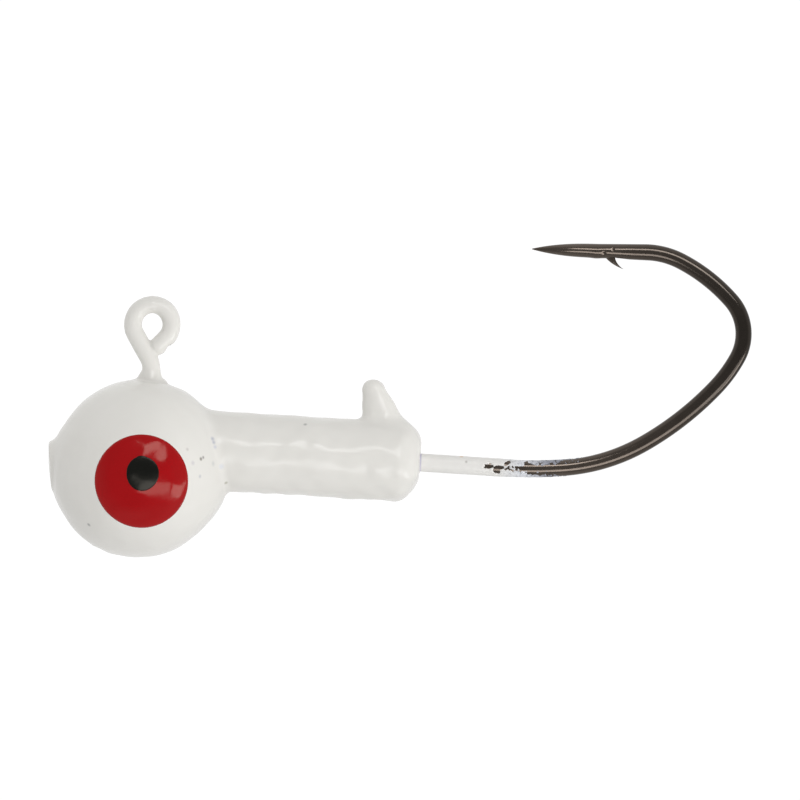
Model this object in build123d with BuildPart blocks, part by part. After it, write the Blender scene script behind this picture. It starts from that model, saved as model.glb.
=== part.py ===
"""Round-head fishing jig: a lead head cast on a bent, barbed hook, painted white, with red eyes.

Millimetres. The origin is the centre of the line eye's loop. +X runs along the shank towards
the bend, +Z is the side that the line eye and the hook point are on, and the hook lies in
the XZ plane. The nose is at -X, so the left side of the head is at -Y.
"""

from build123d import *
from math import acos, atan2, degrees, hypot, radians
import os

os.makedirs("parts", exist_ok=True)

# Hook wire
wire_r = 0.45
leg_x = 0.12            # the line eye's leg stands here, and goes down into the ball
shank_z = -6.64
corner_r = 1.5          # bend between the leg and the shank, inside the lead
kink_z = -2.14          # where the leg leans over to meet the loop
kink_r = 1.2
loop_r = 1.07           # line eye, to the wire's centre
loop_end_angle = -42    # where the loop's arc stops, before its short straight end
loop_end_gap = 0.04     # between the wire's cut end and the leg
shank_end_x = 19.77     # end of the straight shank

# Bends after the shank, in order: length along the wire, and degrees turned upwards
bends = [(3.2, 7.0), (4.8, 26.5), (5.0, 16.5), (2.0, 14.5), (3.4, 70.5), (3.5, 21.0), (2.0, 26.0)]

# Point: a straight ground needle with a small barb on its inner side
point_length = 6.3
needle_length = 3.6
needle_r = 0.39
tip_r = 0.03
barb_half_width = 0.24

# Cast head, measured over the paint
paint = 0.13
ball_x, ball_z = -0.23, -7.97
ball_r = 4.89
collar_z = -6.68        # the collar's axis, which the wire leaves a little above its middle
collar_r = 2.17
collar_rear_x = 15.16
collar_edge_r = 1.25
neck_r = 0.5            # fillet between ball and collar
boss_r = 0.70           # low boss where the leg leaves the ball
boss_top_z = -2.75
boss_edge_r = 0.2
gate_x, gate_z = -5.15, -8.05   # middle of the facet where the casting gate was cut off
gate_r = 1.3
gate_tilt = 8.4
gate_edge_r = 0.15
keeper_half_width = 0.56
keeper_tip_r = 0.6
keeper_edge_r = 0.4

# Paint films on the bare wire, and the painted eyes
film = 0.05
film_turn = 2.5         # degrees of the first bend that the paint runs on to
iris_x, iris_z, iris_r = 0.0, -8.62, 2.565
pupil_x, pupil_z, pupil_r = 0.04, -8.20, 0.93

# --------------------------------------------------------------------------- centre lines

kink_distance = hypot(leg_x, kink_z)
loop_start_angle = degrees(atan2(kink_z, leg_x)) - degrees(acos(loop_r / kink_distance)) + 360

with BuildLine(Plane.XZ) as eye_line:
    loop = CenterArc((0, 0), loop_r, loop_end_angle, loop_start_angle - loop_end_angle)
    leg = FilletPolyline(
        ((loop @ 1).X, (loop @ 1).Z),
        (leg_x, kink_z),
        (leg_x, ball_z + ball_r - 1),
        radius=kink_r,
    )

with BuildLine(Plane.XZ) as hidden_line:
    FilletPolyline(
        (leg_x, ball_z + ball_r - 1),
        (leg_x, shank_z),
        (collar_rear_x - 1, shank_z),
        radius=corner_r,
    )

with BuildLine(Plane.XZ) as bend_line:
    run = Line((collar_rear_x - 1, shank_z), (shank_end_x, shank_z))
    for length, turn in bends:
        run = JernArc(run @ 1, run % 1, length / radians(turn), turn)

point_back = Plane(
    origin=(run @ 1) + (run % 1) * point_length,
    x_dir=(run % 1) * -1,
    z_dir=(0, 1, 0),
)   # at the very tip: x runs back along the point, y towards the gape

with BuildLine(Plane.XZ) as film_line:
    shank = Line((collar_rear_x - 1, shank_z), (shank_end_x, shank_z))
    first_length, first_turn = bends[0]
    JernArc(shank @ 1, shank % 1, first_length / radians(first_turn), film_turn)


def round_bar(line, radius):
    """A round bar along a centre line."""
    path = line.wire()
    with BuildPart() as bar:
        with BuildSketch(Plane(origin=path @ 0, z_dir=path % 0)):
            Circle(radius)
        sweep(path=path)
    return bar.part


def loop_end(radius):
    """The short straight end of the loop, cut to lie along the leg."""
    start = loop @ 0
    lean = leg % 0
    beside_leg = Plane(origin=loop @ 1, z_dir=(-lean.Z, 0, lean.X)).offset(wire_r + loop_end_gap)
    with BuildPart() as end:
        with BuildSketch(Plane(origin=start, z_dir=(loop % 0) * -1)):
            Circle(radius)
        extrude(amount=3 * wire_r + 1)
        split(bisect_by=beside_leg, keep=Keep.TOP)
    return end.part


# --------------------------------------------------------------------------- hook

with BuildPart() as needle:
    with BuildSketch(point_back):
        with BuildLine():
            tip_face = Line((0, 0), (0, tip_r))
            taper = Bezier(tip_face @ 1, (0.9, 0.26), (2.0, needle_r), (needle_length, needle_r))
            Polyline(taper @ 1, (point_length, wire_r), (point_length, 0), (0, 0))
        make_face()
    revolve(axis=Axis(point_back.origin, point_back.x_dir))

with BuildPart() as barb:
    with BuildSketch(point_back):
        with BuildLine():
            Polyline(
                (4.00, 0.25),
                (4.09, 0.42),
                (4.31, 0.58),
                (5.05, 0.97),
                (4.84, 0.74),
                (4.66, 0.53),
                (4.62, 0.25),
                close=True,
            )
        make_face()
    extrude(amount=barb_half_width, both=True)

with BuildPart() as barb_cut:
    with BuildSketch(point_back):
        with BuildLine():
            Polyline((4.62, 0.36), (5.95, 0.46), (5.95, 0.7), (4.75, 0.7), close=True)
        make_face()
    extrude(amount=wire_r, both=True)

with BuildPart() as hook:
    add(round_bar(eye_line, wire_r))
    add(loop_end(wire_r))
    add(round_bar(hidden_line, wire_r))
    add(round_bar(bend_line, wire_r))
    add(needle.part)
    add(barb_cut.part, mode=Mode.SUBTRACT)
    add(barb.part)
hook.part.label = "hook"
export_step(hook.part, "parts/hook.step")

# --------------------------------------------------------------------------- cast head


# Keeper spike, side outline over the paint, from its foot in the collar round the tip
keeper_outline = [
    (11.44, -6.00),
    (11.95, -3.80),
    (11.66, -2.72),
    (12.28, -2.12),
    (12.92, -2.40),
    (14.62, -5.00),
    (14.62, -6.00),
]


def keeper_form(grow):
    """The keeper spike: a flat fin with a rounded tip and rims, its foot inside the collar."""
    with BuildPart() as keeper:
        with BuildSketch(Plane.XZ):
            with BuildLine():
                Polyline(*keeper_outline, close=True)
            make_face()
            fillet(vertices().sort_by(Axis.Y)[-4:], radius=keeper_tip_r)
            offset(amount=grow, kind=Kind.INTERSECTION)
        extrude(amount=keeper_half_width + grow, both=True)
        rims = keeper.faces().filter_by(Axis.Y).edges().filter_by_position(Axis.Z, -5.8, 0)
        fillet(rims, radius=keeper_edge_r + grow)
    return keeper.part


def boss_form(grow):
    """The low boss round the line eye's leg, with a rounded rim."""
    with BuildPart() as boss:
        with BuildSketch(Plane.XY.offset(boss_top_z + grow)):
            with Locations((leg_x, 0)):
                Circle(boss_r + grow)
        extrude(amount=-1.5)
        fillet(boss.faces().sort_by(Axis.Z)[-1].edges(), radius=boss_edge_r + grow)
    return boss.part


def gate_form(grow):
    """The stub of the casting gate, cut off flat and tilted a little downwards."""
    facet = Plane(origin=(gate_x, 0, gate_z), z_dir=(-1, 0, 0)).rotated((0, -gate_tilt, 0))
    with BuildPart() as gate:
        with BuildSketch(facet.offset(grow)):
            Circle(gate_r + grow)
        extrude(amount=-2)
        fillet(gate.faces().sort_by(Axis.X)[0].edges(), radius=gate_edge_r + grow)
    return gate.part


def head_form(skin):
    """Outside of the head with this much paint on it; 0 is the bare casting."""
    grow = skin - paint
    details = keeper_form(grow), boss_form(grow), gate_form(grow)
    with BuildPart() as form:
        # Ball and bait collar, turned about the collar's axis, which misses the ball's centre
        with Locations((ball_x, 0, ball_z)):
            Sphere(ball_r + grow)
        with BuildSketch(Plane.XZ):
            with BuildLine():
                Polyline(
                    (ball_x, collar_z),
                    (ball_x, collar_z + collar_r + grow),
                    (collar_rear_x + grow, collar_z + collar_r + grow),
                    (collar_rear_x + grow, collar_z),
                    close=True,
                )
            make_face()
            rear_corner = vertices().sort_by(Axis.X)[-2:].sort_by(Axis.Y)[-1]
            fillet(rear_corner, radius=collar_edge_r + grow)
        revolve(axis=Axis((0, 0, collar_z), (1, 0, 0)))
        fillet(form.edges().filter_by(GeomType.BSPLINE), radius=neck_r - grow)
        add(details)
    return form.part


lead_form = head_form(0)
painted_form = head_form(paint)

with BuildPart() as lead_head:
    add(lead_form)
    add(hook.part, mode=Mode.SUBTRACT)
lead_head.part.label = "lead_head"
export_step(lead_head.part, "parts/lead_head.step")

# --------------------------------------------------------------------------- paint

with BuildPart() as head_coat:
    add(painted_form)
    add(lead_form, mode=Mode.SUBTRACT)
    add(hook.part, mode=Mode.SUBTRACT)
head_coat.part.label = "head_coat"
export_step(head_coat.part, "parts/head_coat.step")

with BuildPart() as line_eye_coat:
    add(round_bar(eye_line, wire_r + film))
    add(loop_end(wire_r + film))
    add(painted_form, mode=Mode.SUBTRACT)
    add(hook.part, mode=Mode.SUBTRACT)
line_eye_coat.part.label = "line_eye_coat"
export_step(line_eye_coat.part, "parts/line_eye_coat.step")

with BuildPart() as shank_coat:
    add(round_bar(film_line, wire_r + film))
    add(painted_form, mode=Mode.SUBTRACT)
    add(hook.part, mode=Mode.SUBTRACT)
shank_coat.part.label = "shank_coat"
export_step(shank_coat.part, "parts/shank_coat.step")


def eye_disc(centre_x, centre_z, radius, inner_r, side):
    """A round film on the ball, one film thick, seen as a circle from the side."""
    with BuildPart() as disc:
        with BuildSketch(Plane.XZ):
            with Locations((centre_x, centre_z)):
                Circle(radius)
        extrude(amount=-side * (ball_r + 1))
        with Locations((ball_x, 0, ball_z)):
            Sphere(inner_r + film, mode=Mode.INTERSECT)
            Sphere(inner_r, mode=Mode.SUBTRACT)
    return disc.part


for name, side in (("left", -1), ("right", 1)):
    iris = eye_disc(iris_x, iris_z, iris_r, ball_r, side)
    iris.label = f"{name}_iris"
    export_step(iris, f"parts/{name}_iris.step")
    pupil = eye_disc(pupil_x, pupil_z, pupil_r, ball_r + film, side)
    pupil.label = f"{name}_pupil"
    export_step(pupil, f"parts/{name}_pupil.step")
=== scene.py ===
"""Looks of a round-head jig: lumpy white paint over a lead head and its line eye, painted red
eyes, and a dark nickel hook whose paint has chipped away behind the collar.

Shapes are worked out in millimetres in the part's own frame and become metres as meshes are
made. The origin is the centre of the line eye, +X runs along the shank and +Z is up.
"""

from itertools import product
from math import acos, atan2, cos, degrees, hypot, pi, radians, sin, sqrt, tan

import bpy
import numpy as np
from mathutils import Matrix, Vector

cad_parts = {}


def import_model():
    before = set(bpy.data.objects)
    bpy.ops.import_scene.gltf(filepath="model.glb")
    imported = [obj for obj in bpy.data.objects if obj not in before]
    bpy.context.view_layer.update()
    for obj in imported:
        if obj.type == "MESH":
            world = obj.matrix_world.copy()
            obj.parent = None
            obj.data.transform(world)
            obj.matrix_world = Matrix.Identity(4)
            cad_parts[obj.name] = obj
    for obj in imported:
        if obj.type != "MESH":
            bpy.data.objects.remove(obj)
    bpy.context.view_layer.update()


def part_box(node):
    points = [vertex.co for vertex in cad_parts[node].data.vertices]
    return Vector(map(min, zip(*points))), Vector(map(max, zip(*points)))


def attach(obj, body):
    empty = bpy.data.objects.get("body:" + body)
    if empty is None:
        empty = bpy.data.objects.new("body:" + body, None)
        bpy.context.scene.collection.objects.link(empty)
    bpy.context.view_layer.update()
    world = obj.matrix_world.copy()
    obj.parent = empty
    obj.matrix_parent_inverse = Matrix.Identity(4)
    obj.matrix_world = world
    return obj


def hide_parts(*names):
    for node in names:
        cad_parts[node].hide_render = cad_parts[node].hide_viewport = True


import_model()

MM = 0.001
SIDEWAYS = np.array([0.0, 1.0, 0.0])


def node_box(node):
    """Lowest and highest corner of a CAD node, in millimetres."""
    low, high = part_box(node)
    return np.array(low) / MM, np.array(high) / MM


# ------------------------------------------------------------------ sizes, in millimetres

head_low, head_high = node_box("head_coat")
film_low = node_box("shank_coat")[0]

# Wire and the paint on it
WIRE_R = 0.45
FILM = 0.05
COATED_R = WIRE_R + FILM
SHANK_Z = film_low[2] + COATED_R
FLATTENING = 0.07               # share that the wire is narrower from side to side than high
SQUARENESS = 4.3 * FLATTENING   # how far that section's power is over the 2 of an ellipse

# Ball and bait collar, with their paint
BALL_R = (head_high[1] - head_low[1]) / 2
BALL = np.array([-0.23, 0.0, head_low[2] + BALL_R])
COLLAR_FRONT = 4.0              # where the collar leaves the ball
COLLAR_REAR = head_high[0]
COLLAR_Z = -6.68
COLLAR_R = 2.17
COLLAR_EDGE_R = 1.25
LEAD_DEPTH = 0.12               # from the paint's surface down to the lead

# Keeper spike: two round cones, one for its upright front and one for its sloping back, both a
# little flatter from side to side. Each is its tip's centre and radius and its foot's.
KEEPER_CONES = [
    (np.array([12.34, 0.0, -2.85]), 0.585, np.array([12.75, 0.0, -5.2]), 0.85),
    (np.array([12.46, 0.0, -2.90]), 0.60, np.array([13.62, 0.0, -5.4]), 1.03),
]
KEEPER_FLATNESS = 0.85

# Stub of the casting gate on the nose, its flat facet tilted a little downwards
GATE = np.array([-5.06, 0.0, -8.05])
GATE_R = 1.27
GATE_DEPTH = 2
GATE_TILT = radians(8.4)

# Paint collected where the leg leaves the ball: a cone round the leg and a low lump behind it
NECK_TOP = np.array([0.08, 0.0, -2.99])
NECK_TOP_R = 0.59
NECK_FOOT = np.array([0.08, 0.0, -3.6])
NECK_FOOT_R = 0.90
NECK_LUMP = np.array([0.68, -0.05, -3.27])
NECK_LUMP_R = 0.33

# Widths of the fillets where two forms meet, and of the gate's rounded rims
COLLAR_FILLET = 0.35
GATE_FILLET = 0.45
KEEPER_FILLET = 0.55
KEEPER_RIDGE = 0.1              # between the spike's two cones
NECK_FILLET = 0.2
NECK_LUMP_FILLET = 0.15
LINE_EYE_FILLET = 0.15
CRACK_FILLET = 0.05             # between the loop's end and the leg
GATE_RIM = 0.12
GATE_FOOT_RIM = 0.1

# Hollows in the casting and its paint: place, spread and depth. Less than 0 is a fuller place.
DENTS = [
    # Nose: concave above the gate, flat below it, and the gate's lower edge run into the ball
    ((-4.30, 0.0, -5.55), 0.60, 0.11),
    ((-3.50, 0.0, -4.35), 0.80, 0.06),
    ((-4.60, 0.0, -10.3), 0.90, 0.05),
    ((-5.04, 0.0, -8.90), 0.35, 0.04),
    ((-4.72, 0.0, -9.94), 0.50, -0.04),
    # Underside of the ball
    ((-2.95, -0.3, -11.97), 0.22, 0.06),
    ((-2.40, -0.3, -12.33), 0.18, -0.03),
    ((-2.10, -0.2, -12.48), 0.20, 0.05),
    ((2.60, -1.0, -11.8), 1.90, 0.03),
    ((2.60, 1.5, -11.8), 1.90, 0.03),
    # Fuller under the left eye, and hollow towards its nose side
    ((0.75, -4.8, -8.00), 0.80, -0.06),
    ((0.34, -4.8, -7.40), 0.30, -0.02),
    ((-0.75, -4.7, -6.60), 0.55, 0.03),
    ((-0.90, -4.7, -9.40), 0.60, 0.035),
    # Fuller where the collar leaves the ball, above and below, and in front of the keeper
    ((2.40, 0.0, -4.00), 1.20, -0.05),
    ((3.95, 0.0, -9.05), 0.45, -0.10),
    ((5.00, 0.0, -8.90), 1.10, -0.07),
    ((11.00, 0.0, -4.50), 0.55, -0.07),
    # Flattened lower corner of the collar, and a bead of paint under the wire
    ((14.97, 0.0, -8.30), 0.50, 0.14),
    ((14.90, -0.9, -8.15), 0.40, 0.08),
    ((15.22, -0.1, -7.14), 0.10, -0.12),
    # Thinner paint on the loop's rear side and inside its top
    ((1.60, 0.0, 0.00), 0.50, 0.03),
    ((0.00, 0.0, 0.60), 0.30, 0.05),
    # Waist past the wire's cut end, thinner paint down the leg, and its wide foot in front
    ((0.93, 0.0, -1.15), 0.14, 0.17),
    ((0.62, 0.0, -2.10), 0.35, 0.04),
    ((-0.62, 0.0, -2.95), 0.20, -0.07),
]

# The paint's unevenness in long and short waves, and the heights between which the leg comes
# clear of the ball and has less of it
BROAD_LENGTH, BROAD_HEIGHT = 3.4, 0.016
RIPPLE_LENGTH, RIPPLE_HEIGHT = 1.2, 0.006
LEG_CLEAR = (-3.0, -2.4)

# Line eye and leg, to the wire's centre
LEG_X = 0.12
KINK_Z = -2.14
KINK_R = 1.2
LOOP_R = 1.07
LOOP_END_ANGLE = -42
LOOP_PAINT_END = 0.72           # straight past the arc, to the end of the paint
LOOP_WIRE_END = 0.12            # and to the cut end of the wire inside it
LEG_FOOT_Z = -4.2               # inside the ball, where the two runs of the wire start
CORNER_R = 1.5                  # hidden bend from the leg into the shank

# Hook: length along the wire, and degrees turned upwards
SHANK_END_X = 19.77
BENDS = [(3.2, 7.0), (4.8, 26.5), (5.0, 16.5), (2.0, 14.5), (3.4, 70.5), (3.5, 21.0), (2.0, 26.0)]
POINT_LENGTH = 6.3
NEEDLE_LENGTH = 3.6
NEEDLE_R = 0.39
NEEDLE_FULLNESS = 2.5           # how soon behind its tip the needle thickens
FLAT_FROM = POINT_LENGTH - 0.7  # back from the tip, where the wire is flattened in full
TIP_R = 0.02

# Mesh of the wire. The straight point has its own spacing: from, to and step, all measured
# back from the tip, with the closest points where the barb is cut.
WIRE_SIDES = 64
WIRE_STEP = 0.12
POINT_SPACING = [(5.9, 3.4, 0.03), (3.4, 0.5, 0.1), (0.5, -0.01, 0.05)]
POINT_SPACED_FROM = 6.0

# Barb: pairs of distance back from the tip and offset towards the gape
BARB_FRONT = [(3.90, 0.15), (4.22, 0.68), (5.05, 0.97)]
BARB_REAR = [(4.58, 0.15), (4.54, 0.60), (5.07, 0.97)]
BARB_HALF_WIDTH = 0.2
# Floor of the cut that raised it, in such pairs, and the share left of what stood above it
CUT = [(3.2, 0.5), (3.7, 0.44), (4.2, 0.43), (4.50, 0.33), (4.7, 0.36), (5.5, 0.44), (5.9, 0.5)]
CUT_LEFTOVER = 0.15
# Marks of the cut: distance back from the tip, offset towards the gape, spread and depth
CUT_MARKS = [(3.55, 0.42, 0.22, -0.035), (3.95, 0.14, 0.07, 0.035), (4.45, -0.10, 0.05, 0.03)]

# Where the paint on the shank ends: angle round the wire, with 0 facing -Y and 90 up, and place
# along the wire, which is X as far as the first bend
PAINT_END = [
    (-180, 21.5), (-120, 22.0), (-80, 22.7), (-52, 22.5), (-45, 21.6), (-38, 21.1),
    (-20, 20.95), (-16, 20.4), (16, 20.4), (20, 21.6), (28, 22.0), (34, 22.4),
    (56, 22.6), (66, 23.4), (90, 23.8), (130, 22.4), (180, 21.5),
]
PAINT_END_SLOPE = 0.55          # how fast the paint's cover grows away from that end
RAGGED = (19.9, 21.4)           # places between which the edge grows ragged
FLAKE_DEPTH = 0.42              # and how deep its flakes are
THINNING = (19.5, 21.0)         # places between which the film grows thin
THIN_SHARE = 0.45               # and its thickness then, as a share of FILM
STRAYS_PLACE = 23.2             # middle of the stray flakes on top
LAST_PLACE = 26.2               # nothing is left of the paint past this
EDGE_COVER = 0.07               # cover over which the film grows to its full thickness
EDGE_SHARE = 0.35               # and how far it has grown where the cover is 0
DIP = 0.02                      # how far inside the wire the tube goes where it is bare
# Chips on the left side: place along the shank, offset upwards, half length, half height, lean
CHIPS = [
    (18.95, 0.04, 0.24, 0.14, 0.0),
    (19.03, 0.16, 0.08, 0.07, 0.0),
    (19.55, -0.01, 0.34, 0.12, 0.0),
    (19.22, 0.02, 0.16, 0.07, 0.0),
    (19.42, -0.20, 0.20, 0.15, 0.0),
    (19.95, 0.29, 0.16, 0.12, 0.5),
    (20.02, 0.33, 0.08, 0.08, 0.0),
    (19.93, -0.07, 0.05, 0.10, 0.5),
    (20.06, 0.09, 0.06, 0.05, 0.0),
    (20.12, -0.08, 0.06, 0.07, 0.6),
    (20.26, 0.07, 0.06, 0.05, 0.0),
    (20.28, -0.12, 0.07, 0.05, 0.0),
    (21.05, 0.28, 0.15, 0.15, 0.0),
    (21.33, 0.20, 0.30, 0.09, -0.35),
]
# Specks on the shank's paint there: place, radius and colour
SHANK_SPECKS = [
    ((17.43, -0.15, -6.17), 0.15, (0.72, 0.52, 0.34)),
    ((17.71, -0.44, -6.44), 0.10, (0.50, 0.48, 0.45)),
]

# Specks in the white paint of the left side: place along X and Z, radius and colour
SPECKS = [
    (3.72, -6.06, 0.17, (0.52, 0.53, 0.58)),
    (3.80, -6.25, 0.15, (0.52, 0.53, 0.58)),
    (3.89, -6.50, 0.15, (0.64, 0.645, 0.68)),
    (3.17, -7.20, 0.14, (0.27, 0.25, 0.22)),
    (3.29, -7.11, 0.12, (0.36, 0.34, 0.32)),
    (3.18, -8.16, 0.14, (0.60, 0.60, 0.61)),
    (2.40, -6.72, 0.13, (0.63, 0.61, 0.58)),
    (4.61, -8.43, 0.14, (0.50, 0.48, 0.41)),
    (4.30, -7.55, 0.22, (0.70, 0.71, 0.73)),
    (3.85, -7.42, 0.20, (0.66, 0.66, 0.64)),
    (2.75, -7.45, 0.17, (0.66, 0.64, 0.64)),
    (-2.75, -11.20, 0.15, (0.42, 0.42, 0.41)),
    (8.75, -4.95, 0.14, (0.46, 0.46, 0.44)),
    (1.20, -2.95, 0.12, (0.62, 0.52, 0.22)),
]

# Eye discs: how far they stand up and how deep their backs lie in the coat, and where their
# rounded rim starts, as a share of their radius
IRIS_HEIGHT = 0.025
PUPIL_HEIGHT = 0.05
EYE_BACK_DEPTH = 0.06
EYE_RIM_FROM = 0.93


# ------------------------------------------------------------------ meshes


def mesh_object(name, vertices, faces, material, slot, *nodes):
    """A smooth mesh from millimetre vertices, riding on the one body in place of CAD nodes."""
    mesh = bpy.data.meshes.new(name)
    mesh.from_pydata((np.asarray(vertices) * MM).tolist(), [], faces)
    mesh.shade_smooth()
    mesh.materials.append(material)
    piece = bpy.data.objects.new(name, mesh)
    bpy.context.collection.objects.link(piece)
    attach(piece, "root")
    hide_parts(*nodes)


def surface_net(distance, low, high, cell):
    """Vertices and quads of a closed mesh near the surface where distance is 0."""
    low = np.asarray(low, float)
    counts = np.ceil((np.asarray(high) - low) / cell).astype(int) + 1
    axes = [low[i] + cell * np.arange(counts[i]) for i in range(3)]
    grid = np.stack(np.meshgrid(*axes, indexing="ij"), -1)
    inside = distance(grid.reshape(-1, 3)).reshape(counts) < 0
    filled = np.zeros(counts - 1, int)
    for i, j, k in product((0, 1), repeat=3):
        filled += inside[i:counts[0] - 1 + i, j:counts[1] - 1 + j, k:counts[2] - 1 + k]
    crossed = (filled > 0) & (filled < 8)
    number = np.full(crossed.shape, -1)
    number[crossed] = np.arange(crossed.sum())
    vertices = low + cell * (np.argwhere(crossed) + 0.5)
    steps = np.eye(3, dtype=int)
    quads = []
    for axis in range(3):
        along, side, other = steps[axis], steps[(axis + 1) % 3], steps[(axis + 2) % 3]
        here = np.take(inside, range(counts[axis] - 1), axis)
        ahead = np.take(inside, range(1, counts[axis]), axis)
        edges = np.argwhere(here != ahead)
        ring = [edges - side - other, edges - other, edges, edges - side]
        quad = np.stack([number[tuple(corner.T)] for corner in ring], 1)
        inwards = inside[tuple((edges + along).T)]
        quad[inwards] = quad[inwards][:, ::-1]
        quads.append(quad)
    return vertices, np.concatenate(quads)


def gradient(distance, points, step=0.01):
    """Unit direction in which the distance grows."""
    slopes = [distance(points + step * axis) - distance(points - step * axis) for axis in np.eye(3)]
    slopes = np.stack(slopes, 1)
    return slopes / np.maximum(np.linalg.norm(slopes, axis=1, keepdims=True), 1e-9)


def relax(vertices, quads, kept=0.2):
    """Moves each vertex most of the way to the middle of its neighbours."""
    total = np.zeros_like(vertices)
    count = np.zeros(len(vertices))
    for turn in range(4):
        np.add.at(total, quads[:, turn], vertices[quads[:, (turn + 1) % 4]])
        np.add.at(count, quads[:, turn], 1)
    return kept * vertices + (1 - kept) * total / count[:, None]


def settle(distance, vertices, quads, rounds=10, spread_rounds=8):
    """Brings a net's vertices on to the surface, spreading them evenly in the first rounds."""
    for turn in range(rounds):
        if turn < spread_rounds:
            vertices = relax(vertices, quads)
        vertices = vertices - distance(vertices)[:, None] * gradient(distance, vertices)
    return vertices


def grid_faces(rows, columns):
    """Quads of a grid of vertices, row by row, with each row's end joined to its start."""
    return [
        (
            row * columns + column,
            row * columns + (column + 1) % columns,
            (row + 1) * columns + (column + 1) % columns,
            (row + 1) * columns + column,
        )
        for row in range(rows - 1)
        for column in range(columns)
    ]


def capped(vertices, rows, columns):
    """Vertices and faces of a tube of closed rows, with a fan over each end."""
    faces = grid_faces(rows, columns)
    first, last = len(vertices), len(vertices) + 1
    ends = [vertices[:columns].mean(0), vertices[-columns:].mean(0)]
    start = (rows - 1) * columns
    for i in range(columns):
        faces.append((first, (i + 1) % columns, i))
        faces.append((last, start + i, start + (i + 1) % columns))
    return np.concatenate([vertices, ends]), faces


def around(count):
    """This many angles, evenly round a circle."""
    return np.arange(count) * 2 * pi / count


def rise(value, low, high):
    """0 up to low, 1 from high on, and a straight line in between."""
    return np.clip((value - low) / (high - low), 0, 1)


def waves(points, wavelength, seed):
    """Smooth random lumps with about unit height, from waves in many directions."""
    rng = np.random.default_rng(seed)
    count = 24
    directions = rng.normal(size=(count, 3))
    directions /= np.linalg.norm(directions, axis=1, keepdims=True)
    rates = 2 * pi / wavelength * rng.uniform(0.7, 1.4, count)
    phases = rng.uniform(0, 2 * pi, count)
    return np.sin(points @ (directions * rates[:, None]).T + phases).sum(1) / sqrt(count / 2)


# ------------------------------------------------------------------ the wire's centre line


def bent(start, heading, table):
    """Points of a wire in the XZ plane that starts at a heading and is bent as a table says."""
    points = [np.array(start, float)]
    angle = radians(heading)
    for length, turn in table:
        count = max(1, round(length / WIRE_STEP))
        half_turn = radians(turn) / count / 2
        for _ in range(count):
            angle += half_turn
            ahead = np.array([cos(angle), 0.0, sin(angle)])
            points.append(points[-1] + length / count * ahead)
            angle += half_turn
    return np.array(points)


def eye_run(end_length):
    """The leg from inside the ball up round the loop, and a straight end."""
    to_kink = hypot(LEG_X, KINK_Z)
    loop_start = degrees(atan2(KINK_Z, LEG_X)) - degrees(acos(LOOP_R / to_kink)) + 360
    lean = loop_start - 180
    kink_reach = KINK_R * tan(radians(lean) / 2)
    loop_turn = loop_start - LOOP_END_ANGLE
    table = [
        (KINK_Z - LEG_FOOT_Z - kink_reach, 0),
        (KINK_R * radians(lean), lean),
        (sqrt(to_kink**2 - LOOP_R**2) - kink_reach, 0),
        (LOOP_R * radians(loop_turn), -loop_turn),
        (end_length, 0),
    ]
    return bent((LEG_X, 0, LEG_FOOT_Z), 90, table)


def hook_run():
    """The rest of the wire: down into the shank, and round the bends to the point."""
    table = [
        (LEG_FOOT_Z - SHANK_Z - CORNER_R, 0),
        (CORNER_R * pi / 2, 90),
        (SHANK_END_X - LEG_X - CORNER_R, 0),
        *BENDS,
        (POINT_LENGTH, 0),
    ]
    return bent((LEG_X, 0, LEG_FOOT_Z), -90, table)


def directions_along(points):
    """Unit tangent at each point of a line in the XZ plane, and the unit vector to its left."""
    ahead = np.gradient(points, axis=0)
    ahead /= np.linalg.norm(ahead, axis=1, keepdims=True)
    left = np.stack([-ahead[:, 2], ahead[:, 1], ahead[:, 0]], 1)
    return ahead, left


# ------------------------------------------------------------------ distances to the paint


def smooth_min(a, b, blend):
    """The smaller of two distances, with a fillet about as wide as blend where they meet."""
    share = np.clip(0.5 + 0.5 * (b - a) / blend, 0, 1)
    return b + (a - b) * share - blend * share * (1 - share)


def smooth_max(a, b, blend):
    """The larger of two distances, with a rounded rim about as wide as blend."""
    return -smooth_min(-a, -b, blend)


def cone_distance(points, top, top_r, foot, foot_r):
    """Distance to a round cone between two balls."""
    axis = foot - top
    along = np.clip((points - top) @ axis / (axis @ axis), 0, 1)
    nearest = top + along[:, None] * axis
    return np.linalg.norm(points - nearest, axis=1) - (top_r + along * (foot_r - top_r))


def line_distance(points, line):
    """Distance to a line of straight pieces."""
    best = np.full(len(points), np.inf)
    for start, end in zip(line[:-1], line[1:]):
        best = np.minimum(best, cone_distance(points, start, 0, end, 0))
    return best


def collar_distance(points):
    """Distance to the bait collar: a cylinder with a rounded rear edge."""
    x = points[:, 0]
    r = np.hypot(points[:, 1], points[:, 2] - COLLAR_Z)
    past = x - (COLLAR_REAR - COLLAR_EDGE_R)
    out = r - (COLLAR_R - COLLAR_EDGE_R)
    outside = np.hypot(np.maximum(past, 0), np.maximum(out, 0))
    inside = np.minimum(np.maximum(past, out), 0)
    return np.maximum(outside + inside - COLLAR_EDGE_R, BALL[0] - x)


def gate_distance(points):
    """Distance to the gate's stub: a short cylinder with rounded rims."""
    out = np.array([-cos(GATE_TILT), 0, -sin(GATE_TILT)])
    height = (points - GATE) @ out
    r = np.linalg.norm(points - GATE - height[:, None] * out, axis=1)
    faced = smooth_max(r - GATE_R, height, GATE_RIM)
    return smooth_max(faced, -GATE_DEPTH - height, GATE_FOOT_RIM)


def keeper_distance(points):
    """Distance to the keeper spike."""
    squeezed = points / [1, KEEPER_FLATNESS, 1]
    front, back = (cone_distance(squeezed, *cone) for cone in KEEPER_CONES)
    return smooth_min(front, back, KEEPER_RIDGE)


eye_line = eye_run(LOOP_PAINT_END)
top_of_loop = int(np.argmax(eye_line[:, 2]))


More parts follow.
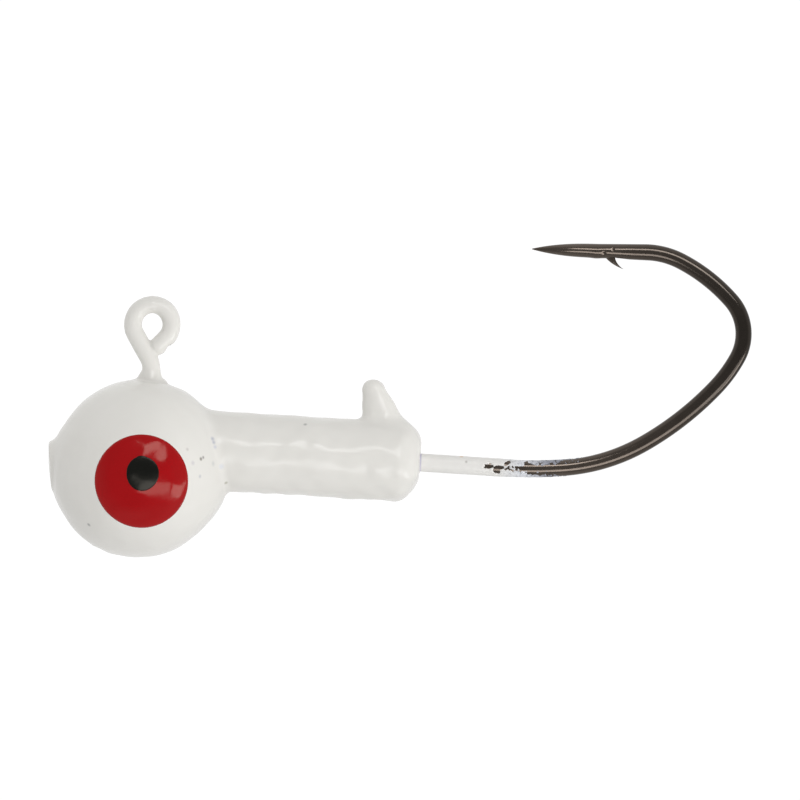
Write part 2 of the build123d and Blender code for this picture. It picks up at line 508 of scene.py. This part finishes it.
def eye_distance(points):
    """Distance to the painted line eye: the paint fills the crack where the wire's end lies."""
    far_away = 5.0
    distance = np.full(len(points), far_away)
    near = points[:, 2] > LEG_FOOT_Z
    leg = line_distance(points[near], eye_line[:top_of_loop + 1:2]) - COATED_R
    end = line_distance(points[near], eye_line[top_of_loop::2]) - COATED_R
    distance[near] = smooth_min(leg, end, CRACK_FILLET)
    return distance


def head_distance(points):
    """Distance to the painted head, without the line eye or any dents."""
    distance = np.linalg.norm(points - BALL, axis=1) - BALL_R
    distance = smooth_min(distance, collar_distance(points), COLLAR_FILLET)
    distance = smooth_min(distance, gate_distance(points), GATE_FILLET)
    distance = smooth_min(distance, keeper_distance(points), KEEPER_FILLET)
    neck = cone_distance(points, NECK_TOP, NECK_TOP_R, NECK_FOOT, NECK_FOOT_R)
    distance = smooth_min(distance, neck, NECK_FILLET)
    lump = np.linalg.norm(points - NECK_LUMP, axis=1) - NECK_LUMP_R
    return smooth_min(distance, lump, NECK_LUMP_FILLET)


def dents(points):
    """How far the surface is pushed in."""
    depth_here = np.zeros(len(points))
    for place, spread, depth in DENTS:
        away = ((points - place) ** 2).sum(1)
        depth_here += depth * np.exp(-away / (2 * spread**2))
    return depth_here


def coat_distance(points):
    """Distance to the painted head and line eye."""
    both = smooth_min(head_distance(points), eye_distance(points), LINE_EYE_FILLET)
    return both + dents(points)


def lumpy_distance(points):
    """The same with the paint's own unevenness, more of it on the collar and less on the wire."""
    on_collar = rise(points[:, 0], COLLAR_FRONT, COLLAR_FRONT + 2)
    on_wire = rise(points[:, 2], *LEG_CLEAR) * (points[:, 0] < COLLAR_FRONT)
    rippled = 1 + 1.3 * on_collar - 0.6 * on_wire
    broad = BROAD_HEIGHT * waves(points, BROAD_LENGTH, seed=3) * (1 - 0.7 * on_wire)
    ripple = RIPPLE_HEIGHT * waves(points, RIPPLE_LENGTH, seed=5) * rippled
    return coat_distance(points) - broad - ripple


def on_coat(x, z, side):
    """Points of the painted head's side surface at places in the XZ plane."""
    points = np.stack([x, np.full(len(x), side * (BALL_R + 0.3)), z], 1)
    for _ in range(30):
        points[:, 1] -= side * lumpy_distance(points)
    return points


# ------------------------------------------------------------------ materials


def new_material(name):
    """A new material, its node tree and its shader."""
    material = bpy.data.materials.new(name)
    material.use_nodes = True
    tree = material.node_tree
    return material, tree, tree.nodes["Principled BSDF"]


def object_coordinates(tree):
    return tree.nodes.new("ShaderNodeTexCoord").outputs["Object"]


def along_x(tree, coordinates, low_mm, high_mm):
    """From 0 to 1 between two places along X."""
    split = tree.nodes.new("ShaderNodeSeparateXYZ")
    tree.links.new(coordinates, split.inputs["Vector"])
    return ramp(tree, split.outputs["X"], low_mm * MM, high_mm * MM)


def noise(tree, coordinates, size_mm, detail=3):
    """Noise whose lumps are about size_mm across, from 0 to 1."""
    node = tree.nodes.new("ShaderNodeTexNoise")
    node.inputs["Scale"].default_value = 1 / (size_mm * MM)
    node.inputs["Detail"].default_value = detail
    tree.links.new(coordinates, node.inputs["Vector"])
    return node.outputs["Fac"]


def ramp(tree, value, low, high, to_low=0.0, to_high=1.0):
    """The value carried from one range to another, and held at its ends."""
    node = tree.nodes.new("ShaderNodeMapRange")
    node.inputs["From Min"].default_value = low
    node.inputs["From Max"].default_value = high
    node.inputs["To Min"].default_value = to_low
    node.inputs["To Max"].default_value = to_high
    tree.links.new(value, node.inputs["Value"])
    return node.outputs["Result"]


def mixed(tree, factor, first, second):
    """Two colours mixed; each is a colour or a socket."""
    node = tree.nodes.new("ShaderNodeMix")
    node.data_type = "RGBA"
    tree.links.new(factor, node.inputs[0])
    for colour, socket in ((first, node.inputs[6]), (second, node.inputs[7])):
        if isinstance(colour, bpy.types.NodeSocket):
            tree.links.new(colour, socket)
        else:
            socket.default_value = (*colour, 1)
    return node.outputs[2]


def patchy_roughness(tree, shader, coordinates, size_mm, low, high):
    """Roughness from low to high, in patches of about size_mm."""
    roughness = ramp(tree, noise(tree, coordinates, size_mm), 0.3, 0.7, low, high)
    tree.links.new(roughness, shader.inputs["Roughness"])


def bump(tree, shader, height, distance_mm):
    """Small bumps in the shader's surface, up to distance_mm high."""
    node = tree.nodes.new("ShaderNodeBump")
    node.inputs["Distance"].default_value = distance_mm * MM
    tree.links.new(height, node.inputs["Height"])
    tree.links.new(node.outputs["Normal"], shader.inputs["Normal"])


def spot(tree, coordinates, place, radius):
    """1 inside a small ball round a place, in millimetres, and 0 outside."""
    node = tree.nodes.new("ShaderNodeVectorMath")
    node.operation = "DISTANCE"
    node.inputs[1].default_value = [c * MM for c in place]
    tree.links.new(coordinates, node.inputs[0])
    return ramp(tree, node.outputs["Value"], radius * 0.2 * MM, radius * MM, 1, 0)


def white_paint():
    """Glossy white paint with the specks that were caught in it."""
    material, tree, shader = new_material("white_paint")
    where = object_coordinates(tree)
    colour = mixed(tree, noise(tree, where, 2.5), (0.765, 0.75, 0.71), (0.80, 0.787, 0.75))
    for x, z, radius, tint in SPECKS:
        place = on_coat(np.array([x]), np.array([z]), -1)[0]
        colour = mixed(tree, spot(tree, where, place, radius), colour, tint)
    tree.links.new(colour, shader.inputs["Base Color"])
    shader.inputs["Specular IOR Level"].default_value = 0.25
    patchy_roughness(tree, shader, where, 0.8, 0.12, 0.2)
    bump(tree, shader, noise(tree, where, 0.9, detail=1), 0.004)
    return material


def shank_white():
    """The shank's paint: a violet line of painted shade in the crease at the collar, then white,
    then bluish and gritty where it has worn, and almost gone at its end."""
    material, tree, shader = new_material("shank_white")
    where = object_coordinates(tree)
    plain = mixed(tree, noise(tree, where, 1.5), (0.77, 0.755, 0.725), (0.81, 0.80, 0.775))
    grit = ramp(tree, noise(tree, where, 0.14, detail=5), 0.48, 0.66)
    worn = mixed(tree, grit, (0.71, 0.725, 0.765), (0.38, 0.40, 0.45))
    thin = mixed(tree, grit, (0.30, 0.31, 0.36), (0.07, 0.07, 0.08))
    worn = mixed(tree, along_x(tree, where, 21.0, 22.2), worn, thin)
    colour = mixed(tree, along_x(tree, where, 19.4, 20.8), plain, worn)
    # painted shade: a thin violet band in the crease where the shank's paint meets the collar
    colour = mixed(tree, along_x(tree, where, 15.20, 15.28), (0.52, 0.50, 0.62), colour)
    for place, radius, tint in SHANK_SPECKS:
        colour = mixed(tree, spot(tree, where, place, radius), colour, tint)
    tree.links.new(colour, shader.inputs["Base Color"])
    shader.inputs["Specular IOR Level"].default_value = 0.3
    patchy_roughness(tree, shader, where, 0.4, 0.3, 0.45)
    bump(tree, shader, noise(tree, where, 0.15), 0.003)
    return material


def eye_paint(name, dark, light, roughness):
    """Glossy paint in slightly uneven shades."""
    material, tree, shader = new_material(name)
    where = object_coordinates(tree)
    colour = mixed(tree, noise(tree, where, 0.9), dark, light)
    tree.links.new(colour, shader.inputs["Base Color"])
    shader.inputs["Roughness"].default_value = roughness
    shader.inputs["Specular IOR Level"].default_value = 0.23
    shader.inputs["Specular Tint"].default_value = (1.0, 0.93, 0.82, 1)
    bump(tree, shader, noise(tree, where, 0.4, detail=1), 0.0035)
    return material


def hook_metal():
    """Brownish nickel, with painted shade that darkens it towards the bend."""
    material, tree, shader = new_material("hook_wire")
    where = object_coordinates(tree)
    pale = mixed(tree, noise(tree, where, 0.5), (0.097, 0.078, 0.064), (0.130, 0.105, 0.086))
    dark = mixed(tree, noise(tree, where, 0.5), (0.034, 0.028, 0.023), (0.050, 0.042, 0.035))
    # painted shade: the colour darkens from X 23 to 33 mm, standing for the bend's dimmer
    # reflections
    colour = mixed(tree, along_x(tree, where, 23, 33), pale, dark)
    tree.links.new(colour, shader.inputs["Base Color"])
    shader.inputs["Metallic"].default_value = 0.75
    patchy_roughness(tree, shader, where, 0.2, 0.10, 0.17)
    bump(tree, shader, noise(tree, where, 0.12), 0.0006)
    return material


def bare_lead():
    """Dull grey lead, which the paint hides."""
    material, tree, shader = new_material("bare_lead")
    where = object_coordinates(tree)
    colour = mixed(tree, noise(tree, where, 1.5), (0.25, 0.26, 0.28), (0.38, 0.39, 0.41))
    tree.links.new(colour, shader.inputs["Base Color"])
    shader.inputs["Metallic"].default_value = 0.9
    shader.inputs["Roughness"].default_value = 0.55
    bump(tree, shader, noise(tree, where, 0.3), 0.01)
    return material


# ------------------------------------------------------------------ head and eyes


def paint_coat(material):
    """The paint over the head and the line eye, as one skin."""
    margin = 0.3
    eye_low, eye_high = node_box("line_eye_coat")
    low = np.minimum(head_low, eye_low) - margin
    high = np.maximum(head_high, eye_high) + margin
    vertices, quads = surface_net(coat_distance, low, high, cell=0.12)
    vertices = settle(lumpy_distance, vertices, quads)
    nodes = "head_coat", "line_eye_coat"
    mesh_object("paint_coat", vertices, quads.tolist(), material, "white_paint", *nodes)


def lead_distance(points):
    """Distance to the casting under the paint."""
    return head_distance(points) + dents(points) + LEAD_DEPTH


def lead_core(material):
    """The casting under the paint."""
    vertices, quads = surface_net(lead_distance, head_low, head_high, cell=0.25)
    vertices = settle(lead_distance, vertices, quads)
    mesh_object("lead_core", vertices, quads.tolist(), material, "lead", "lead_head")


def iris_outline(angle, side):
    """The iris's radius at each angle, as a share of its size: almost round."""
    return 1 + 0.002 * np.sin(3 * angle + side)


def pupil_outline(angle, side):
    """The same for the pupil, which is taller than wide and has a small peak on top."""
    peak = 0.05 * np.exp(-((angle - 1.75) / 0.25) ** 2)
    return 1 - 0.03 * np.cos(2 * angle) + 0.012 * np.sin(3 * angle - 0.9 * side) + peak


def eye_disc(name, model, outline, height, side, material, slot, node):
    """A painted disc on the ball: its face, a round rim, and a back inside the paint. Its place
    and size are those of the CAD node model."""
    rings, spokes = 34, 96
    model_low, model_high = node_box(model)
    centre = (model_low + model_high) / 2
    size = (model_high[0] - model_low[0]) / 2
    share = np.linspace(0, 1, rings + 1)[1:]
    angle = around(spokes)
    radius = share[:, None] * (size * outline(angle, side))[None, :]
    x = centre[0] + (radius * np.cos(angle)).ravel()
    z = centre[2] + (radius * np.sin(angle)).ravel()
    rim = np.sqrt(1 - rise(share, EYE_RIM_FROM, 1) ** 2)
    face = on_coat(x, z, side)
    out = gradient(lumpy_distance, face)
    back = face - EYE_BACK_DEPTH * out
    face = face + height * np.repeat(rim, spokes)[:, None] * out
    middle = on_coat(centre[:1], centre[2:], side)
    middle_out = gradient(lumpy_distance, middle)
    middles = [middle + height * middle_out, middle - EYE_BACK_DEPTH * middle_out]
    vertices = np.concatenate([face, back, *middles])
    faces = grid_faces(rings, spokes)
    faces += [tuple(i + rings * spokes for i in quad[::-1]) for quad in faces]
    rim_row, back_row = (rings - 1) * spokes, (2 * rings - 1) * spokes
    front_middle, back_middle = 2 * rings * spokes, 2 * rings * spokes + 1
    for i in range(spokes):
        j = (i + 1) % spokes
        faces.append((rim_row + i, rim_row + j, back_row + j, back_row + i))
        faces.append((front_middle, j, i))
        faces.append((back_middle, rings * spokes + i, rings * spokes + j))
    if side > 0:
        faces = [corners[::-1] for corners in faces]
    mesh_object(name, vertices, faces, material, slot, node)


def painted_eyes(red, black):
    """A red iris with a black pupil on it, on both sides at the left one's place."""
    for name, side in (("left", -1), ("right", 1)):
        eye_disc(
            f"{name}_eye_iris", "left_iris", iris_outline, IRIS_HEIGHT, side,
            red, "red_paint", f"{name}_iris",
        )
        eye_disc(
            f"{name}_eye_pupil", "left_pupil", pupil_outline, PUPIL_HEIGHT, side,
            black, "black_paint", f"{name}_pupil",
        )


# ------------------------------------------------------------------ hook


def wire_radius(from_tip):
    """The wire's radius at distances back from its tip."""
    growth = 1 - (1 - rise(from_tip, 0, NEEDLE_LENGTH)) ** NEEDLE_FULLNESS
    needle = TIP_R + (NEEDLE_R - TIP_R) * growth
    return needle + np.interp(from_tip, [NEEDLE_LENGTH, POINT_LENGTH], [0, WIRE_R - NEEDLE_R])


def section(angle, flat_share):
    """Radius round the wire's section, as a share of its half height; angle 0 is up or down.
    Its two sides are flat by the given share of the full flattening."""
    power = 2 + SQUARENESS * flat_share
    half_width = 1 - FLATTENING * flat_share
    reach = np.abs(np.cos(angle)) ** power + np.abs(np.sin(angle) / half_width) ** power
    return reach ** (-1 / power)


def respaced_point(line):
    """The line with its straight last stretch divided as POINT_SPACING says."""
    tip = line[-1]
    back = (line[-2] - tip) / np.linalg.norm(line[-2] - tip)
    distances = [np.arange(start, end, -step) for start, end, step in POINT_SPACING]
    distances = np.concatenate(distances)
    kept = np.linalg.norm(line - tip, axis=1) > POINT_SPACED_FROM
    return np.concatenate([line[kept], tip + distances[:, None] * back])


def hook_wire(material):
    """The whole wire, from the loop's cut end to the ground point, and its barb."""
    line = respaced_point(np.concatenate([eye_run(LOOP_WIRE_END)[::-1], hook_run()[1:]]))
    ahead, left = directions_along(line)
    steps = np.linalg.norm(np.diff(line, axis=0), axis=1)
    from_tip = np.concatenate([np.cumsum(steps[::-1])[::-1], [0]])
    angle = around(WIRE_SIDES)
    flat_share = rise(from_tip, NEEDLE_LENGTH, FLAT_FROM)
    radius = wire_radius(from_tip)[:, None] * section(angle[None, :], flat_share[:, None])
    for back, offset, spread, depth in CUT_MARKS:
        away = (from_tip[:, None] - back) ** 2 + (radius * np.cos(angle) - offset) ** 2
        radius = radius - depth * np.exp(-away / (2 * spread**2))
    towards_gape = np.cos(angle) * radius
    across = np.sin(angle) * radius
    above_cut = towards_gape - np.interp(from_tip, *zip(*CUT))[:, None]
    towards_gape = towards_gape - (1 - CUT_LEFTOVER) * np.maximum(above_cut, 0)
    vertices = (
        line[:, None, :]
        + towards_gape[:, :, None] * left[:, None, :]
        + across[:, :, None] * SIDEWAYS
    )
    vertices, faces = capped(vertices.reshape(-1, 3), len(line), WIRE_SIDES)
    barb_vertices, barb_faces = barb(line[-1], -ahead[-1], left[-1])
    faces = [face[::-1] for face in faces]
    faces += [tuple(i + len(vertices) for i in face) for face in barb_faces]
    vertices = np.concatenate([vertices, barb_vertices])
    mesh_object("hook_wire", vertices, faces, material, "hook_wire", "hook")


def quadratic(points, t):
    """Places along the curve that starts and ends at the outer points and bends to the middle."""
    start, middle, end = (np.array(point) for point in points)
    t = t[:, None]
    return (1 - t) ** 2 * start + 2 * t * (1 - t) * middle + t**2 * end


def barb(tip, back, gape):
    """The sliver raised from the wire: rings from its root, inside the wire, out to its edge."""
    rows, sides = 26, 20
    t = np.linspace(0, 1, rows)
    front = quadratic(BARB_FRONT, t)
    rear = quadratic(BARB_REAR, t)
    half_width = BARB_HALF_WIDTH * np.sqrt(np.clip(1 - t**3, 0.01, 1))
    angle = around(sides)
    share = (1 + np.cos(angle)) / 2
    flat = front[:, None, :] * share[None, :, None] + rear[:, None, :] * (1 - share)[None, :, None]
    across = half_width[:, None] * np.sin(angle)[None, :]
    vertices = tip + flat[:, :, :1] * back + flat[:, :, 1:] * gape + across[:, :, None] * SIDEWAYS
    return capped(vertices.reshape(-1, 3), rows, sides)


# ------------------------------------------------------------------ chipped paint on the shank


def chip_distance(place, across, chip):
    """Distance out from a chip's edge. A chip is an oblong with round corners."""
    chip_place, chip_across, half_length, half_height, lean = chip
    along = (place - chip_place) / half_length
    off = (across - chip_across - lean * (place - chip_place)) / half_height
    reach = (abs(along) ** 3 + abs(off) ** 3) ** (1 / 3)
    return (reach - 1) * min(half_length, half_height)


def paint_cover(place, angle, points):
    """How far inside the paint a spot on the wire is, in millimetres; less than 0 is bare."""
    half_turned = np.degrees((angle + pi) % (2 * pi) - pi)
    end = np.interp(half_turned, *zip(*PAINT_END))
    flakes = 0.5 * waves(points, 0.42, seed=11) + 0.5 * waves(points, 0.17, seed=12)
    cover = (end - place) * PAINT_END_SLOPE + FLAKE_DEPTH * rise(place, *RAGGED) * flakes
    across = COATED_R * np.sin(angle)
    on_left = np.cos(angle) > 0
    uneven = 0.02 * waves(points, 0.2, seed=13)
    for chip in CHIPS:
        chipped = np.minimum(cover, chip_distance(place, across, chip) + uneven)
        cover = np.where(on_left, chipped, cover)
    strays = 0.6 * waves(points, 0.13, seed=14) - 1.05 - 0.25 * np.abs(place - STRAYS_PLACE)
    strays = np.where(np.sin(angle) > 0.5, strays, -1)
    return np.maximum(cover, 0.2 * strays)


def shank_paint(material):
    """The paint on the bare wire: a tube that dips inside the wire wherever the paint is gone."""
    sides = 176
    step = 0.035
    inside_collar = 0.6
    line = hook_run()
    run = np.concatenate([[0], np.cumsum(np.linalg.norm(np.diff(line, axis=0), axis=1))])
    on_shank = np.argmax(line[:, 0] > 2.0)
    line_place = run - run[on_shank] + line[on_shank, 0]
    place = np.arange(COLLAR_REAR - inside_collar, LAST_PLACE, step)
    centre = np.stack([np.interp(place, line_place, line[:, i]) for i in range(3)], 1)
    left = directions_along(centre)[1]
    angle = around(sides)
    out = (
        np.sin(angle)[None, :, None] * left[:, None, :]
        - np.cos(angle)[None, :, None] * SIDEWAYS
    )
    radius = WIRE_R * section(pi / 2 - angle, 1)
    surface = (centre[:, None, :] + radius[None, :, None] * out).reshape(-1, 3)
    grid_place = np.repeat(place, sides)
    cover = paint_cover(grid_place, np.tile(angle, len(place)), surface)
    share = np.clip(cover / EDGE_COVER + EDGE_SHARE, 0, 1)
    share = share * share * (3 - 2 * share)
    thinned = np.interp(grid_place, THINNING, [1, THIN_SHARE])
    film = FILM * thinned + 0.004 * waves(surface, 0.6, seed=15)
    height = (film + DIP) * share - DIP
    vertices = surface + height[:, None] * out.reshape(-1, 3)
    vertices, faces = capped(vertices, len(place), sides)
    mesh_object("shank_paint", vertices, faces, material, "white_paint", "shank_coat")


# ------------------------------------------------------------------ stage and camera, in metres

VIEW_CENTRE = (0.01386, 0.0, -0.00328)
VIEW_WIDTH = 0.044
VIEW_ROLL = radians(3.65)
LAMP_DISTANCE = 0.45
TENT_LEAN = (-0.14, 0, 0.14)    # the tent is a little brighter beyond the nose and above
FLOOR_HALF_WIDTH = 3.0
FLOOR_Z = -0.09


def camera():
    """A long lens square to the hook's plane, rolled a little."""
    data = bpy.data.cameras.new("camera")
    data.lens = 1000
    data.clip_start = 0.001
    eye = bpy.data.objects.new("camera", data)
    distance = VIEW_WIDTH * data.lens / data.sensor_width
    right = (cos(VIEW_ROLL), 0, sin(VIEW_ROLL))
    up = (-sin(VIEW_ROLL), 0, cos(VIEW_ROLL))
    back = (0, -1, 0)
    turn = Matrix((right, up, back)).transposed().to_4x4()
    eye.matrix_world = Matrix.Translation((VIEW_CENTRE[0], -distance, VIEW_CENTRE[2])) @ turn
    bpy.context.collection.objects.link(eye)
    bpy.context.scene.camera = eye


def soft_box(name, azimuths, elevations, brightness):
    """A square-edged lamp, itself unseen, that fills a range of directions from the ball. They
    are in degrees: from the camera's direction towards +X, and up."""
    azimuth = radians(sum(azimuths) / 2)
    elevation = radians(sum(elevations) / 2)
    level = cos(elevation)
    towards = Vector((sin(azimuth) * level, -cos(azimuth) * level, sin(elevation)))
    half_width = tan(radians(azimuths[1] - azimuths[0]) / 2) * level
    half_height = tan(radians(elevations[1] - elevations[0]) / 2)
    data = bpy.data.lights.new(name, "AREA")
    data.shape = "RECTANGLE"
    data.size = 2 * LAMP_DISTANCE * half_width
    data.size_y = 2 * LAMP_DISTANCE * half_height
    data.energy = brightness * pi * data.size * data.size_y
    lamp = bpy.data.objects.new(name, data)
    lamp.location = Vector(BALL * MM) + LAMP_DISTANCE * towards
    lamp.rotation_euler = towards.to_track_quat("Z", "Y").to_euler()
    lamp.visible_camera = False
    bpy.context.collection.objects.link(lamp)


def dot_product(tree, direction, vector):
    """How far a direction goes along a fixed vector."""
    node = tree.nodes.new("ShaderNodeVectorMath")
    node.operation = "DOT_PRODUCT"
    node.inputs[1].default_value = vector
    tree.links.new(direction, node.inputs[0])
    return node.outputs["Value"]


def times(tree, first, second):
    """The product of two values."""
    node = tree.nodes.new("ShaderNodeMath")
    node.operation = "MULTIPLY"
    tree.links.new(first, node.inputs[0])
    tree.links.new(second, node.inputs[1])
    return node.outputs["Value"]


def world():
    """White behind the object; for its lighting, a pale tent with a dark opening at the camera."""
    scene_world = bpy.data.worlds.new("world")
    scene_world.use_nodes = True
    bpy.context.scene.world = scene_world
    tree = scene_world.node_tree
    tree.nodes.clear()
    output = tree.nodes.new("ShaderNodeOutputWorld")
    mix = tree.nodes.new("ShaderNodeMixShader")
    seen = tree.nodes.new("ShaderNodeBackground")
    seen.inputs["Color"].default_value = (1, 1, 1, 1)
    seen.inputs["Strength"].default_value = 1.05
    tent = tree.nodes.new("ShaderNodeBackground")
    direction = tree.nodes.new("ShaderNodeTexCoord").outputs["Generated"]
    towards_camera = dot_product(tree, direction, (0, -1, 0))
    opening = ramp(tree, towards_camera, 0.25, 0.75, 0.94, 0.33)
    behind = ramp(tree, towards_camera, -0.7, 0.0, 1.15, 1.0)
    lean = ramp(tree, dot_product(tree, direction, TENT_LEAN), -0.5, 0.5, 0.5, 1.5)
    strength = times(tree, times(tree, opening, behind), lean)
    tree.links.new(strength, tent.inputs["Strength"])
    path = tree.nodes.new("ShaderNodeLightPath")
    tree.links.new(path.outputs["Is Camera Ray"], mix.inputs[0])
    tree.links.new(tent.outputs[0], mix.inputs[1])
    tree.links.new(seen.outputs[0], mix.inputs[2])
    tree.links.new(mix.outputs[0], output.inputs["Surface"])


def floor():
    """A plain pale floor below the object, which throws no light or shadow on it."""
    half = FLOOR_HALF_WIDTH
    corners = [(x * half, y * half, FLOOR_Z) for x, y in ((-1, -1), (1, -1), (1, 1), (-1, 1))]
    mesh = bpy.data.meshes.new("floor")
    mesh.from_pydata(corners, [], [(0, 1, 2, 3)])
    material, _, shader = new_material("pale_floor")
    shader.inputs["Base Color"].default_value = (0.85, 0.85, 0.85, 1)
    shader.inputs["Roughness"].default_value = 0.9
    shader.inputs["Emission Color"].default_value = (1, 1, 1, 1)
    shader.inputs["Emission Strength"].default_value = 0.8
    mesh.materials.append(material)
    plane = bpy.data.objects.new("floor", mesh)
    bpy.context.collection.objects.link(plane)
    plane.visible_diffuse = False
    plane.visible_glossy = False
    plane.visible_shadow = False


# ------------------------------------------------------------------ build

paint_coat(white_paint())
painted_eyes(
    eye_paint("red_paint", (0.33, 0.003, 0.005), (0.37, 0.004, 0.007), 0.12),
    eye_paint("black_paint", (0.003, 0.0035, 0.003), (0.006, 0.007, 0.006), 0.2),
)
hook_wire(hook_metal())
lead_core(bare_lead())
shank_paint(shank_white())

camera()
world()
floor()
soft_box("upper_box", (-5, 33), (22, 36), 5.6)
soft_box("lower_box", (-5, 45), (-35, -14), 3.5)
soft_box("lower_right_box", (50, 75), (-33, -14), 4.8)
bpy.context.scene.view_settings.view_transform = "Standard"
